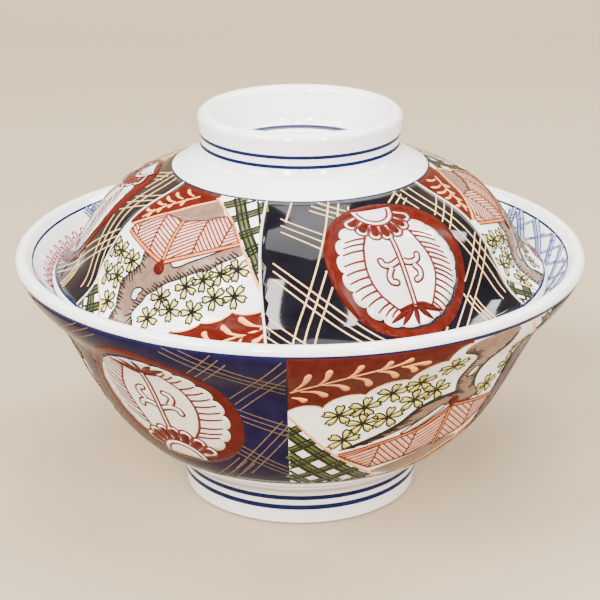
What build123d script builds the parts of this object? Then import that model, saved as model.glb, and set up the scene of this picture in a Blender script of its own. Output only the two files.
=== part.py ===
# A donburi bowl and its lid, two porcelain bodies turned on the wheel and glazed.
# The lid repeats the bowl upside down: it has a grip ring where the bowl has a foot ring,
# and its flared edge rests on the cone inside the bowl's flared lip.
# Millimetres, +Z up, origin at the centre of the circle that the foot ring stands on.

import os
from math import cos, radians, sin, tan

from build123d import *

# Bowl: lip
rim_radius = 77.5
rim_height = 70.6
lip_thickness = 3.8
lip_outer_angle = 64.0
seat_angle = 52.0
seat_length = 14.0

# Bowl: neck, where the flank turns out into the lip
neck_inset = 12.6
neck_drop = 20.6
neck_angle = 65.0
neck_curve = 9.7
lip_curve = 11.2
inner_neck_curve = 3.0

# Bowl: flank, floor and foot ring
bowl_wall = 4.3
flank_angle = 35.6
flank_lower_curve = 22.3
flank_upper_curve = 24.8
floor_thickness = 5.2
floor_curve = 32.0
inner_flank_curve = 41.0
foot_radius = 32.4
foot_spread = 1.4
foot_height = 10.2
foot_wall = 4.2
foot_recess = 8.6
foot_inner_draft = 0.8
foot_root_round = 4.0
foot_recess_round = 2.5
foot_outer_bevel = 0.9
foot_inner_bevel = 0.7

# Lid: edge and its seat on the bowl
lid_inset = 9.7
lid_edge_thickness = 3.5
seat_clearance = 0.25
edge_angle = 38.0

# Lid: waist, where the dome turns out into the edge
waist_inset = 7.6
waist_rise = 8.5
waist_angle = 63.0
waist_curve = 4.3
edge_curve = 3.4
inner_waist_curve = 2.2
inner_edge_curve = 2.2

# Lid: dome, crown and grip ring
lid_height = 47.1
lid_wall = 4.0
shoulder_radius = 31.0
shoulder_depth = 13.2
shoulder_angle = 33.7
dome_upper_curve = 14.5
dome_lower_curve = 22.3
crown_thickness = 4.8
crown_curve = 28.0
inner_dome_curve = 22.0
ring_radius = 27.5
ring_wall = 4.2
ring_taper = 1.0
ring_recess = 11.0
ring_inner_draft = 0.8
ring_root_round = 4.5
ring_recess_round = 3.0


def along(start, angle, distance):
    """The point at a distance from start, in the direction of angle degrees above +X."""
    return (start[0] + distance * cos(radians(angle)), start[1] + distance * sin(radians(angle)))


def ring_edge(part, radius, height):
    """The round edge of a turned part that passes closest to a radius and a height."""
    return part.edges().filter_by(GeomType.CIRCLE).sort_by_distance((radius, 0, height))[0]


# Bowl profile: a full round lip, with a straight cone inside it for the lid to rest on
lip_round = lip_thickness / 2
lip_centre = (rim_radius - lip_round, rim_height - lip_round)
lip_outer = along(lip_centre, lip_outer_angle - 90, lip_round)
lip_inner = along(lip_centre, seat_angle + 90, lip_round)
seat_end = along(lip_inner, seat_angle, -seat_length)

neck_outer = (rim_radius - neck_inset, rim_height - neck_drop)
neck_inner = along(neck_outer, neck_angle + 90, bowl_wall)

foot_top = (foot_radius + foot_spread, foot_height)
foot_inner_radius = foot_radius - foot_wall
recess_radius = foot_inner_radius - foot_inner_draft
floor_height = foot_recess + floor_thickness

with BuildPart() as bowl:
    with BuildSketch(Plane.XZ):
        with BuildLine():
            Polyline(
                (0, floor_height),
                (0, foot_recess),
                (recess_radius, foot_recess),
                (foot_inner_radius, 0),
                (foot_radius, 0),
                foot_top,
            )
            Bezier(
                foot_top,
                along(foot_top, flank_angle, flank_lower_curve),
                along(neck_outer, neck_angle, -flank_upper_curve),
                neck_outer,
            )
            Bezier(
                neck_outer,
                along(neck_outer, neck_angle, neck_curve),
                along(lip_outer, lip_outer_angle, -lip_curve),
                lip_outer,
            )
            CenterArc(lip_centre, lip_round, lip_outer_angle - 90, 180 - lip_outer_angle)
            CenterArc(lip_centre, lip_round, 90, seat_angle)
            Line(lip_inner, seat_end)
            Bezier(
                seat_end,
                along(seat_end, seat_angle, -inner_neck_curve),
                along(neck_inner, neck_angle, inner_neck_curve),
                neck_inner,
            )
            Bezier(
                neck_inner,
                along(neck_inner, neck_angle, -inner_flank_curve),
                (floor_curve, floor_height),
                (0, floor_height),
            )
        make_face()
    revolve(axis=Axis.Z)
    fillet(ring_edge(bowl, *foot_top), foot_root_round)
    fillet(ring_edge(bowl, recess_radius, foot_recess), foot_recess_round)
    chamfer(ring_edge(bowl, foot_radius, 0), foot_outer_bevel)
    chamfer(ring_edge(bowl, foot_inner_radius, 0), foot_inner_bevel)

bowl.part.label = "bowl"

# Lid profile: the round edge hovers over the seat cone by the clearance, and the rest is set from it
edge_round = lid_edge_thickness / 2
edge_radius = rim_radius - lid_inset - edge_round
seat_reach = (edge_round + seat_clearance) / cos(radians(seat_angle))
edge_height = lip_inner[1] + seat_reach - (lip_inner[0] - edge_radius) * tan(radians(seat_angle))
edge_centre = (edge_radius, edge_height)
edge_outer = along(edge_centre, 90 - edge_angle, edge_round)
edge_inner = along(edge_centre, -90 - edge_angle, edge_round)

waist_outer = (rim_radius - lid_inset - waist_inset, edge_height + waist_rise)
waist_inner = along(waist_outer, -90 - waist_angle, lid_wall)

top_height = edge_height - edge_round + lid_height
shoulder = (shoulder_radius, top_height - shoulder_depth)
recess_height = top_height - ring_recess
crown_height = recess_height - crown_thickness

ring_round = ring_wall / 2
ring_outer = (ring_radius, top_height - ring_round)
ring_inner = (ring_radius - ring_wall, top_height - ring_round)
ring_centre = (ring_radius - ring_round, top_height - ring_round)
ring_root_radius = ring_radius - ring_taper
ring_root_rise = (shoulder_radius - ring_root_radius) * tan(radians(shoulder_angle))
ring_root = (ring_root_radius, shoulder[1] + ring_root_rise)
ring_floor_radius = ring_inner[0] - ring_inner_draft

with BuildPart() as lid:
    with BuildSketch(Plane.XZ):
        with BuildLine():
            Polyline(
                (0, crown_height),
                (0, recess_height),
                (ring_floor_radius, recess_height),
                ring_inner,
            )
            CenterArc(ring_centre, ring_round, 180, -90)
            CenterArc(ring_centre, ring_round, 90, -90)
            Polyline(ring_outer, ring_root, shoulder)
            Bezier(
                shoulder,
                along(shoulder, -shoulder_angle, dome_upper_curve),
                along(waist_outer, -waist_angle, -dome_lower_curve),
                waist_outer,
            )
            Bezier(
                waist_outer,
                along(waist_outer, -waist_angle, waist_curve),
                along(edge_outer, -edge_angle, -edge_curve),
                edge_outer,
            )
            CenterArc(edge_centre, edge_round, 90 - edge_angle, -90)
            CenterArc(edge_centre, edge_round, -edge_angle, -90)
            Bezier(
                edge_inner,
                along(edge_inner, -edge_angle, -inner_edge_curve),
                along(waist_inner, -waist_angle, inner_waist_curve),
                waist_inner,
            )
            Bezier(
                waist_inner,
                along(waist_inner, -waist_angle, -inner_dome_curve),
                (crown_curve, crown_height),
                (0, crown_height),
            )
        make_face()
    revolve(axis=Axis.Z)
    fillet(ring_edge(lid, *ring_root), ring_root_round)
    fillet(ring_edge(lid, ring_floor_radius, recess_height), ring_recess_round)

lid.part.label = "lid"

os.makedirs("parts", exist_ok=True)
export_step(bowl.part, "parts/bowl.step")
export_step(lid.part, "parts/lid.step")
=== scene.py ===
# A donburi bowl and its lid in white porcelain, painted in the old brocade manner: cobalt lines
# under the glaze, and navy, red, green, yellow and gold enamels fired on top of it.
# Blender works in metres; the profiles and the drawings of the decoration are in millimetres.

import math

import bpy
import numpy as np
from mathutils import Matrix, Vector
from mathutils.geometry import delaunay_2d_cdt


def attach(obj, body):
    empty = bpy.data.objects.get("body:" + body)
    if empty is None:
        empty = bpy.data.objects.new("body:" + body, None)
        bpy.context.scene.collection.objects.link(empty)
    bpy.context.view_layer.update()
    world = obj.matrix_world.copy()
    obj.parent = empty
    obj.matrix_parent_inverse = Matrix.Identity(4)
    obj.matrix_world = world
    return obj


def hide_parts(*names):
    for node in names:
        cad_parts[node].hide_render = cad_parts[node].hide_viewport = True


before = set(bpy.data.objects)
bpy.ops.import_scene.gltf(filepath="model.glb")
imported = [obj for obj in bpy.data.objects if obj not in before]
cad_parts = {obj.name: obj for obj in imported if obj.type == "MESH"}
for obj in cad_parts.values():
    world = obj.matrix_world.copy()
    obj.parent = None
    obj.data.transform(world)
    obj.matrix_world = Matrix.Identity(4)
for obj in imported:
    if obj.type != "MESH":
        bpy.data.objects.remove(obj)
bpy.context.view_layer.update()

# Bowl body. One piece of hard porcelain, jiggered on the wheel in a plaster mould, with its foot
# ring turned from the same clay, then glazed white all over and fired. It stands on its foot ring.

MM = 0.001
TURN_SEGMENTS = 192
PROFILE_STEPS = 20
POLE_WELD = 0.001 * MM
MATHS = "ShaderNodeMath"

bowl_foot_top = (33.8, 10.2)
bowl_neck = (64.9, 50.0)
bowl_lip_centre = (75.6, 68.7)
bowl_lip_round = 1.9
bowl_seat_end = (65.484, 58.838)
bowl_neck_inner = (61.003, 51.817)
bowl_floor = 13.8
bowl_recess = 8.6
flank_angle, neck_angle, lip_angle, seat_angle = 35.6, 65, 64, 52
foot_inner, foot_outer = (28.2, 0), (32.4, 0)
foot_inner_bevel, foot_outer_bevel = 0.7, 0.9
foot_inner_lean, foot_outer_lean = 95.3, 82.2
foot_recess_corner, foot_recess_round = (27.4, bowl_recess), 2.5
foot_root_round, foot_root_inset, foot_root_curve = 4.0, 1.72, 1.1
flank_lower_curve, flank_upper_curve, neck_curve, lip_curve = 22.3, 24.8, 9.7, 11.2
inner_neck_curve, inner_flank_curve, floor_curve = 3.0, 41.0, 32.0


def polar(start, angle, distance):
    """The point at a distance from start, in the direction of angle degrees above the radius."""
    return (start[0] + distance * math.cos(math.radians(angle)),
            start[1] + distance * math.sin(math.radians(angle)))


def knot(point, angle=None, back=0.0, ahead=0.0):
    """A curve point in (radius, height), with the reach of its two handles along one direction."""
    if angle is None:
        return (point, point, point)
    return (point, polar(point, angle, -back), polar(point, angle, ahead))


def arc(centre, radius, start, end, back=0.0, ahead=0.0):
    """The knots of an arc in spans of up to a right angle; back and ahead reach out from its two ends."""
    spans = math.ceil(abs(end - start) / 90)
    step = (end - start) / spans
    reach = 4 / 3 * math.tan(math.radians(abs(step)) / 4) * radius
    knots = []
    for index in range(spans + 1):
        angle = start + step * index
        knots.append(knot(polar(centre, angle, radius), angle + math.copysign(90, step),
                          reach if index > 0 else back, reach if index < spans else ahead))
    return knots


def rounded(before, corner, after, radius):
    """The two knots that round a corner between straight runs."""
    into = math.degrees(math.atan2(corner[1] - before[1], corner[0] - before[0]))
    out = math.degrees(math.atan2(after[1] - corner[1], after[0] - corner[0]))
    turn = abs((out - into + 180) % 360 - 180)
    inset = radius * math.tan(math.radians(turn) / 2)
    reach = 4 / 3 * math.tan(math.radians(turn) / 4) * radius
    return [knot(polar(corner, into, -inset), into, ahead=reach),
            knot(polar(corner, out, inset), out, back=reach)]


def placed(name, data):
    """A new object at the scene's origin."""
    made = bpy.data.objects.new(name, data)
    bpy.context.scene.collection.objects.link(made)
    return made


def profile_curve(name, knots, steps=PROFILE_STEPS):
    """A curve object in the plane y = 0 through the knots, in metres."""
    curve = bpy.data.curves.new(name, "CURVE")
    curve.dimensions = "3D"
    spline = curve.splines.new("BEZIER")
    spline.bezier_points.add(len(knots) - 1)
    spline.resolution_u = steps
    for point, places in zip(spline.bezier_points, knots):
        point.handle_left_type = point.handle_right_type = "FREE"
        point.co, point.handle_left, point.handle_right = [(r * MM, 0, z * MM) for r, z in places]
    return placed(name, curve)


def add(tree, kind, inputs=None, **settings):
    """Add a node with its settings; an input is a value, an output, or a node whose first output is used."""
    made = tree.nodes.new(kind)
    for name, value in settings.items():
        setattr(made, name, value)
    for name, value in (inputs or {}).items():
        feed = value.outputs[0] if isinstance(value, bpy.types.Node) else value
        if isinstance(feed, bpy.types.NodeSocket):
            tree.links.new(feed, made.inputs[name])
        else:
            made.inputs[name].default_value = feed
    return made


def node_tree(name, inputs):
    """A Geometry Nodes tree with a geometry input and output and the named inputs."""
    tree = bpy.data.node_groups.new(name, "GeometryNodeTree")
    tree.interface.new_socket("Geometry", in_out="INPUT", socket_type="NodeSocketGeometry")
    tree.interface.new_socket("Geometry", in_out="OUTPUT", socket_type="NodeSocketGeometry")
    for label, kind in inputs.items():
        tree.interface.new_socket(label, in_out="INPUT", socket_type=kind)
    return tree, add(tree, "NodeGroupInput").outputs


def finished(tree, geometry, material):
    """The end of a tree: real faces, with no instances, in one material."""
    real = add(tree, "GeometryNodeRealizeInstances", {"Geometry": geometry})
    coated = add(tree, "GeometryNodeSetMaterial", {"Geometry": real, "Material": material})
    add(tree, "NodeGroupOutput", {"Geometry": coated})
    return tree


def turned_tree():
    """Turns a profile curve round the upright axis into a closed body."""
    tree, given = node_tree("turn_on_the_wheel", {
        "Profile": "NodeSocketObject", "Segments": "NodeSocketInt", "Material": "NodeSocketMaterial"})
    profile = add(tree, "GeometryNodeObjectInfo", {"Object": given["Profile"]}).outputs["Geometry"]
    outline = add(tree, "GeometryNodeCurveToMesh", {"Curve": profile})
    rows = add(tree, "GeometryNodeAttributeDomainSize", {"Geometry": outline}).outputs["Point Count"]
    columns = add(tree, MATHS, {0: given["Segments"], 1: 1.0}, operation="ADD")
    grid = add(tree, "GeometryNodeMeshGrid", {"Vertices X": columns, "Vertices Y": rows})
    index = add(tree, "GeometryNodeInputIndex")
    row = add(tree, MATHS, {0: index, 1: rows}, operation="MODULO")
    share = add(tree, MATHS, {0: index, 1: rows}, operation="DIVIDE")
    column = add(tree, MATHS, {0: share}, operation="FLOOR")
    place = add(tree, "GeometryNodeInputPosition")
    point = add(tree, "GeometryNodeSampleIndex", {"Geometry": outline, "Value": place, "Index": row},
                data_type="FLOAT_VECTOR", domain="POINT")
    step = add(tree, MATHS, {0: 2 * math.pi, 1: given["Segments"]}, operation="DIVIDE")
    angle = add(tree, MATHS, {0: column, 1: step}, operation="MULTIPLY")
    turned = add(tree, "ShaderNodeVectorRotate", {"Vector": point, "Angle": angle}, rotation_type="Z_AXIS")
    shaped = add(tree, "GeometryNodeSetPosition", {"Geometry": grid, "Position": turned})
    closed = add(tree, "GeometryNodeMergeByDistance", {"Geometry": shaped, "Distance": POLE_WELD})
    smoothed = add(tree, "GeometryNodeSetShadeSmooth", {"Geometry": closed})
    return finished(tree, smoothed, given["Material"])


def made_piece(name, mesh, tree, values, body):
    """Run a tree on a mesh, keep the result as a plain mesh, and let it ride on a body."""
    piece = placed(name, mesh)
    modifier = piece.modifiers.new(tree.name, "NODES")
    modifier.node_group = tree
    for item in tree.interface.items_tree:
        if item.in_out == "INPUT" and item.name in values:
            modifier[item.identifier] = values[item.name]
    graph = bpy.context.evaluated_depsgraph_get()
    result = bpy.data.meshes.new_from_object(piece.evaluated_get(graph), depsgraph=graph)
    piece.modifiers.clear()
    piece.data = result
    result.name = name
    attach(piece, body)
    return piece


turning = turned_tree()


def turned_piece(name, profile, material, body):
    """A closed piece that is turned from its profile."""
    return made_piece(name, bpy.data.meshes.new(name), turning, {
        "Profile": profile, "Segments": TURN_SEGMENTS, "Material": material}, body)


def linear(code):
    """An sRGB hex colour as linear red, green, blue and alpha."""
    channels = [int(code[at:at + 2], 16) / 255 for at in (1, 3, 5)]
    return [c / 12.92 if c <= 0.04045 else ((c + 0.055) / 1.055) ** 2.4 for c in channels] + [1.0]


def fired_glass(name, colours, stops, cloud, ripple, speck, gloss, relief, optics):
    """Glass melted in the kiln: two colours in clouds, ripples in its face, and specks in its gloss.
    Cloud, ripple and speck give a noise's size in mm and its detail, relief a strength and a depth in mm."""
    material = bpy.data.materials.new(name)
    material.use_nodes = True
    tree = material.node_tree
    tree.nodes.clear()
    place = add(tree, "ShaderNodeTexCoord").outputs["Object"]
    clouds, ripples, specks = [
        add(tree, "ShaderNodeTexNoise", {"Vector": place, "Scale": 1 / (size * MM), "Detail": detail})
        for size, detail in (cloud, ripple, speck)]
    tint = add(tree, "ShaderNodeValToRGB", {"Fac": clouds})
    for element, stop, colour in zip(tint.color_ramp.elements, stops, colours):
        element.position = stop
        element.color = linear(colour)
    sheen = add(tree, "ShaderNodeMapRange", {"Value": specks, "To Min": gloss[0], "To Max": gloss[1]})
    bump = add(tree, "ShaderNodeBump", {"Height": ripples, "Strength": relief[0], "Distance": relief[1] * MM})
    shader = add(tree, "ShaderNodeBsdfPrincipled", {
        "Base Color": tint, "Roughness": sheen, "Normal": bump, **optics})
    add(tree, "ShaderNodeOutputMaterial", {"Surface": shader})
    return material


def glazed_porcelain(name, white, shade):
    """Porcelain under a clear feldspar glaze: a cool white whose wet gloss ripples where the glaze ran."""
    return fired_glass(name, (shade, white), (0.35, 0.65), cloud=(26, 2.0), ripple=(9, 1.0), speck=(0.5, 1.0),
                       gloss=(0.05, 0.1), relief=(0.35, 0.06), optics={"IOR": 1.52})


# The outside from the foot to the lip, which carries the painted panels, and the cone inside the lip.
bowl_lip = arc(bowl_lip_centre, bowl_lip_round, lip_angle - 90, seat_angle + 90, back=lip_curve)
bowl_wall = [
    knot(polar(bowl_foot_top, flank_angle, foot_root_inset), flank_angle, foot_root_curve,
         flank_lower_curve - foot_root_inset),
    knot(bowl_neck, neck_angle, flank_upper_curve, neck_curve),
]
bowl_inner_wall = [
    bowl_lip[-1],
    knot(bowl_seat_end, seat_angle + 180, 0, inner_neck_curve),
    knot(bowl_neck_inner, neck_angle + 180, inner_neck_curve, inner_flank_curve),
    ((0, bowl_floor), (floor_curve, bowl_floor), (0, bowl_floor)),
]
foot_root = rounded(foot_outer, bowl_foot_top, polar(bowl_foot_top, flank_angle, flank_lower_curve),
                    foot_root_round)
bowl_foot = [
    knot((0, bowl_recess)),
    *rounded((0, bowl_recess), foot_recess_corner, foot_inner, foot_recess_round),
    knot(polar(foot_inner, foot_inner_lean, foot_inner_bevel)),
    knot((foot_inner[0] + foot_inner_bevel, 0)),
    knot((foot_outer[0] - foot_outer_bevel, 0)),
    knot(polar(foot_outer, foot_outer_lean, foot_outer_bevel)),
    foot_root[0],
]
bowl_profile = profile_curve("bowl_profile", bowl_foot + bowl_wall + bowl_lip[:-1] + bowl_inner_wall)
bowl_glaze = glazed_porcelain("glazed_porcelain_bowl", "#f3f5f7", "#eceff3")
bowl = turned_piece("bowl_body", bowl_profile, bowl_glaze, "bowl")
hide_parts("bowl")

# Lid body. The bowl's shape again, smaller and upside down: a porcelain dome with a grip ring in
# place of the foot ring and a flared edge that rests on the cone inside the bowl's lip.

lid_shoulder = (31.0, 94.961)
lid_waist = (60.2, 71.311)
lid_edge_centre = (66.05, 62.811)
lid_edge_round = 1.75
lid_waist_inner = (56.636, 69.495)
lid_crown = 92.361
lid_recess = 97.161
shoulder_angle, waist_angle, edge_angle = -33.7, -63, -38
dome_upper_curve, dome_lower_curve, waist_curve, edge_curve = 14.5, 22.3, 4.3, 3.4
inner_edge_curve, inner_waist_curve, inner_dome_curve, crown_curve = 2.2, 2.2, 22.0, 28.0
ring_centre = (25.4, 106.061)
ring_round = 2.1
ring_root, ring_root_round = (26.5, 97.962), 4.5
ring_floor, ring_floor_round = (22.5, lid_recess), 3.0

lid_edge = arc(lid_edge_centre, lid_edge_round, edge_angle + 90, edge_angle - 90,
               back=edge_curve, ahead=inner_edge_curve)
lid_wall = [
    knot(lid_shoulder, shoulder_angle, 0, dome_upper_curve),
    knot(lid_waist, waist_angle, dome_lower_curve, waist_curve),
]
lid_ring = arc(ring_centre, ring_round, 180, 0)
lid_ring_root = rounded(lid_ring[-1][0], ring_root, lid_shoulder, ring_root_round)
lid_recess_side = [
    knot((0, lid_recess)),
    *rounded((0, lid_recess), ring_floor, lid_ring[0][0], ring_floor_round),
]
lid_outline = [
    *lid_recess_side,
    *lid_ring,
    *lid_ring_root,
    *lid_wall,
    *lid_edge,
    knot(lid_waist_inner, waist_angle + 180, inner_waist_curve, inner_dome_curve),
    ((0, lid_crown), (crown_curve, lid_crown), (0, lid_crown)),
]
# Taken from the inside outwards, so that the turned faces point out.
lid_profile = profile_curve("lid_profile", [(point, ahead, back) for point, back, ahead in lid_outline[::-1]])
lid_glaze = glazed_porcelain("glazed_porcelain_lid", "#f5f6f7", "#eef0f3")
lid = turned_piece("lid_body", lid_profile, lid_glaze, "lid")
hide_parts("lid")

# Painted lines. Cobalt rings brushed on the raw clay while it turns, round the foot, the grip ring,
# the lips and the lid's shoulder; they sink into the glaze, so they lie almost flush.

# How deep paint reaches into the glaze, and how far these lines stand above it, in mm.
INK_SUNK = 0.02
LINE_LEVEL = 0.03
RING_STEPS = 7


def running(path):
    """The length along a path up to each of its points."""
    return np.concatenate([[0], np.cumsum(np.linalg.norm(np.diff(path, axis=0), axis=1))])


def leftward(path):
    """The unit direction to the left of a path at each of its points."""
    ahead = np.gradient(path, axis=0)
    ahead /= np.maximum(np.linalg.norm(ahead, axis=1), 1e-9)[:, None]
    return np.column_stack([-ahead[:, 1], ahead[:, 0]])


def enamel_paint(name, colour, thin, mottle, roughness, gleam):
    """Glassy colour melted onto the glaze: deep where it pooled, thin at the brush's edge, softly glossy."""
    return fired_glass(name, (colour, thin), (0.3, 0.72), cloud=(mottle, 3.0), ripple=(mottle, 3.0),
                       speck=(0.4, 1.0), gloss=(roughness * 0.8, roughness * 1.3), relief=(0.4, 0.02),
                       optics={"IOR": 1.5, "Specular IOR Level": gleam})


cobalt_line = enamel_paint("cobalt_underglaze_line", "#0c1137", "#181f50", 1.6, 0.07, 0.08)


def wall_line(curve, start=0.0):
    """A wall as distances along it and the radius and height there, in mm."""
    graph = bpy.context.evaluated_depsgraph_get()
    line = bpy.data.meshes.new_from_object(curve.evaluated_get(graph), depsgraph=graph)
    places = np.array([vertex.co[:] for vertex in line.vertices])[:, (0, 2)] / MM
    bpy.data.meshes.remove(line)
    return start + running(places), places


def painted_ring(name, wall, at, width, sense, body):
    """A brushed line all the way round a wall: a thin section turned on the axis, so it has no seam."""
    runs, places = wall_line(wall)
    across = at + np.linspace(-0.5, 0.5, RING_STEPS) * width
    path = np.column_stack([np.interp(across, runs, side) for side in places.T])
    out = -sense * leftward(path)
    section = np.vstack([path + LINE_LEVEL * out, (path - INK_SUNK * out)[::-1]])[::sense]
    outline = profile_curve(name + "_section", [knot(corner) for corner in [*section, section[0]]], 1)
    turned_piece(name, outline, cobalt_line, body)
    bpy.data.objects.remove(outline)


bowl_foot_side = profile_curve("bowl_foot_side", [knot(foot_outer), *foot_root])
bowl_outside = profile_curve("bowl_outside", bowl_wall + bowl_lip[:-1])
bowl_inside = profile_curve("bowl_inside", bowl_inner_wall[:-1])
lid_ring_side = profile_curve("lid_ring_side", [knot(lid_ring[-1][0]), *lid_ring_root, knot(lid_shoulder)])
lid_recess_floor = profile_curve("lid_recess_floor", lid_recess_side)
lid_outside = profile_curve("lid_outside", lid_wall + lid_edge[:2])

# Each ring has its wall, its distance along that wall and its width.
for body, sense, rings in (
        ("bowl", 1, (
            ("foot_line_lower", bowl_foot_side, 5.8, 1.5),
            ("foot_line_upper", bowl_foot_side, 8.95, 1.5),
            ("lip_line_inside", bowl_inside, 2.0, 0.65),
            ("lip_line_outside", bowl_outside, 73.2 - foot_root_inset, 1.3),
            ("wall_line_low", bowl_outside, 15.0 - foot_root_inset, 1.4))),
        ("lid", -1, (
            ("grip_line_upper", lid_ring_side, 4.05, 0.95),
            ("grip_line_lower", lid_ring_side, 6.65, 0.9),
            ("grip_recess_line", lid_recess_floor, 20.0, 2.6),
            ("lid_edge_line", lid_outside, 48.4, 0.7),
            ("lid_shoulder_line", lid_outside, 4.3, 0.55)))):
    for name, wall, at, width in rings:
        painted_ring(name, wall, at, width, sense, body)

# Brocade ground. Navy enamel laid over the glaze in three broad panels on each body, with gold
# lattice lines in threes across it; the white panels between them hold the picture.

# How far each coat of enamel stands above the glaze, in mm.
GROUND, SECOND, THIRD, FOURTH, FIFTH = 0.04, 0.08, 0.12, 0.16, 0.20
PANEL_STEPS = 30
TRIM_STEP = 0.5


def inside(points, outline):
    """Which of the points lie inside a closed outline."""
    x, y = points[:, 0, None], points[:, 1, None]
    a = np.asarray(outline, float)
    b = np.roll(a, -1, axis=0)
    crosses = (a[:, 1] > y) != (b[:, 1] > y)
    rise = np.where(b[:, 1] == a[:, 1], 1.0, b[:, 1] - a[:, 1])
    at = a[:, 0] + (y - a[:, 1]) * (b[:, 0] - a[:, 0]) / rise
    return (crosses & (x < at)).sum(axis=1) % 2 == 1


def spaced(points, step, closed=False):
    """A polyline cut into even steps, with its corners kept."""
    corners = np.asarray(points, float)
    if closed:
        corners = np.vstack([corners, corners[:1]])
    runs = []
    for a, b in zip(corners[:-1], corners[1:]):
        count = max(1, math.ceil(np.linalg.norm(b - a) / step))
        runs.append(a + (b - a) * np.arange(count)[:, None] / count)
    line = np.vstack(runs)
    return line if closed else np.vstack([line, corners[-1:]])


def heading(angle):
    """The unit direction at an angle in degrees, and the one to its left."""
    ahead = np.array([math.cos(math.radians(angle)), math.sin(math.radians(angle))])
    return ahead, np.array([-ahead[1], ahead[0]])


def ribbon(count):
    """The faces between pairs of points that follow each other."""
    return [(2 * i, 2 * i + 1, 2 * i + 3, 2 * i + 2) for i in range(count - 1)]


class Drawing:
    """Flat shapes for one body, in millimetres, sorted by the enamel that they are painted in.
    Its rows say how far along the wall each height of the drawing lies."""

    stroke_step = 0.7
    fill_step = 1.3
    edge_step = 0.3 * fill_step
    edge_room = 0.5 * fill_step
    hatch_step = 0.25

    def __init__(self, drawn_rows, wall_rows):
        self.shapes = {}
        self.azimuth = 0.0
        self.rows = (drawn_rows, wall_rows)

    def lay(self, enamel, points, faces, level):
        """Keep a shape, with its level and the azimuth of its chart at each point."""
        places, corners, levels, azimuths = self.shapes.setdefault(enamel, ([], [], [], []))
        first = len(places)
        places.extend((float(x), float(np.interp(y, *self.rows)), 0.0) for x, y in points)
        corners.extend([first + corner for corner in face] for face in faces)
        levels.extend([level] * len(points))
        azimuths.extend([self.azimuth] * len(points))

    def stroke(self, enamel, path, width, level, keep=None):
        """A brush line; width is in mm or a function of the share of its length."""
        path = spaced(path, self.stroke_step)
        lengths = running(path)
        widths = width(lengths / lengths[-1]) if callable(width) else np.full(len(path), width)
        left = leftward(path) * widths[:, None] / 2
        sides = np.stack([path + left, path - left], axis=1)
        kept = np.ones(len(path), bool) if keep is None else keep(path)
        runs = np.flatnonzero(np.diff(np.concatenate([[0], kept.astype(int), [0]])))
        for start, end in zip(runs[::2], runs[1::2]):
            if end - start > 1:
                self.lay(enamel, sides[start:end].reshape(-1, 2), ribbon(end - start), level)

    def fill(self, enamel, outline, level, within=None):
        """A flat area of enamel inside an outline, cut off at the edge of another one."""
        loops = [spaced(loop, self.fill_step, closed=True) for loop in (outline, within) if loop is not None]
        low, high = loops[0].min(axis=0), loops[0].max(axis=0)
        columns, rows = np.ceil((high - low) / self.fill_step).astype(int)
        grid = np.array([(low[0] + (i + j % 2 / 2) * self.fill_step, low[1] + j * self.fill_step)
                         for j in range(rows + 1) for i in range(columns + 1)])
        points, edges = [], []
        for loop in loops:
            grid = grid[inside(grid, loop)]
            edge = spaced(loop, self.edge_step, closed=True)
            clear = [np.hypot(*(edge - point).T).min() >= self.edge_room for point in grid]
            grid = grid[np.array(clear, bool)]
            first, count = len(points), len(loop)
            points.extend(loop)
            edges.extend((first + i, first + (i + 1) % count) for i in range(count))
        points.extend(grid)
        made = delaunay_2d_cdt([Vector(point) for point in points], edges, [], 0, 1e-5)
        corners = np.array([point[:] for point in made[0]])
        faces = np.array(made[2])
        middles = corners[faces].mean(axis=1)
        kept = np.all([inside(middles, loop) for loop in loops], axis=0)
        used, renumbered = np.unique(faces[kept], return_inverse=True)
        self.lay(enamel, corners[used], renumbered.reshape(-1, 3).tolist(), level)

    def hatch(self, enamel, outline, angle, spacing, width, level):
        """Even parallel lines at an angle, inside an outline."""
        outline = np.asarray(outline, float)
        along, aside = heading(angle)
        low, high = (outline @ aside).min(), (outline @ aside).max()
        near, far = (outline @ along).min(), (outline @ along).max()
        for offset in np.arange(low + spacing / 2, high, spacing):
            path = spaced([aside * offset + along * near, aside * offset + along * far], self.hatch_step)
            hit = path[inside(path, outline)]
            if len(hit) > 2:
                self.stroke(enamel, [hit[0], hit[-1]], width, level)

    def mesh(self, enamel, name):
        """The shapes of one enamel as a flat mesh."""
        points, faces, levels, azimuths = self.shapes[enamel]
        mesh = bpy.data.meshes.new(name)
        mesh.from_pydata(points, [], faces)
        mesh.attributes.new("level", "FLOAT", "POINT").data.foreach_set("value", levels)
        mesh.attributes.new("azimuth", "FLOAT", "POINT").data.foreach_set("value", azimuths)
        return mesh


def panel_outline(wall, centre, left, right, low, high):
    """A panel's outline in mm in the chart of its centre; each side has an azimuth at low and at high."""
    runs, places = wall
    along = np.linspace(low, high, PANEL_STEPS)
    radius = np.interp(along, runs, places[:, 0])
    sides = [np.column_stack([np.radians(np.linspace(*edge, PANEL_STEPS) - centre) * radius, along])
             for edge in (left, right)]
    return np.vstack([sides[1], sides[0][::-1]])


def lattice(drawing, groups, keep, width):
    """Gold lines in groups: each has its first line's ends, the step to the next line, and a count."""
    for start, end, step, count in groups:
        for index in range(count):
            ends = np.array([start, end]) + np.array(step) * index
            drawing.stroke("lattice", spaced(ends, TRIM_STEP), width, SECOND, keep)


# Medallion. A red enamel disc with a white reserve cut in a scalloped edge: a half chrysanthemum,
# a pointed oval with a stem and scrolls, feathered wings beside it, and five red blades at its end.

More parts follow.
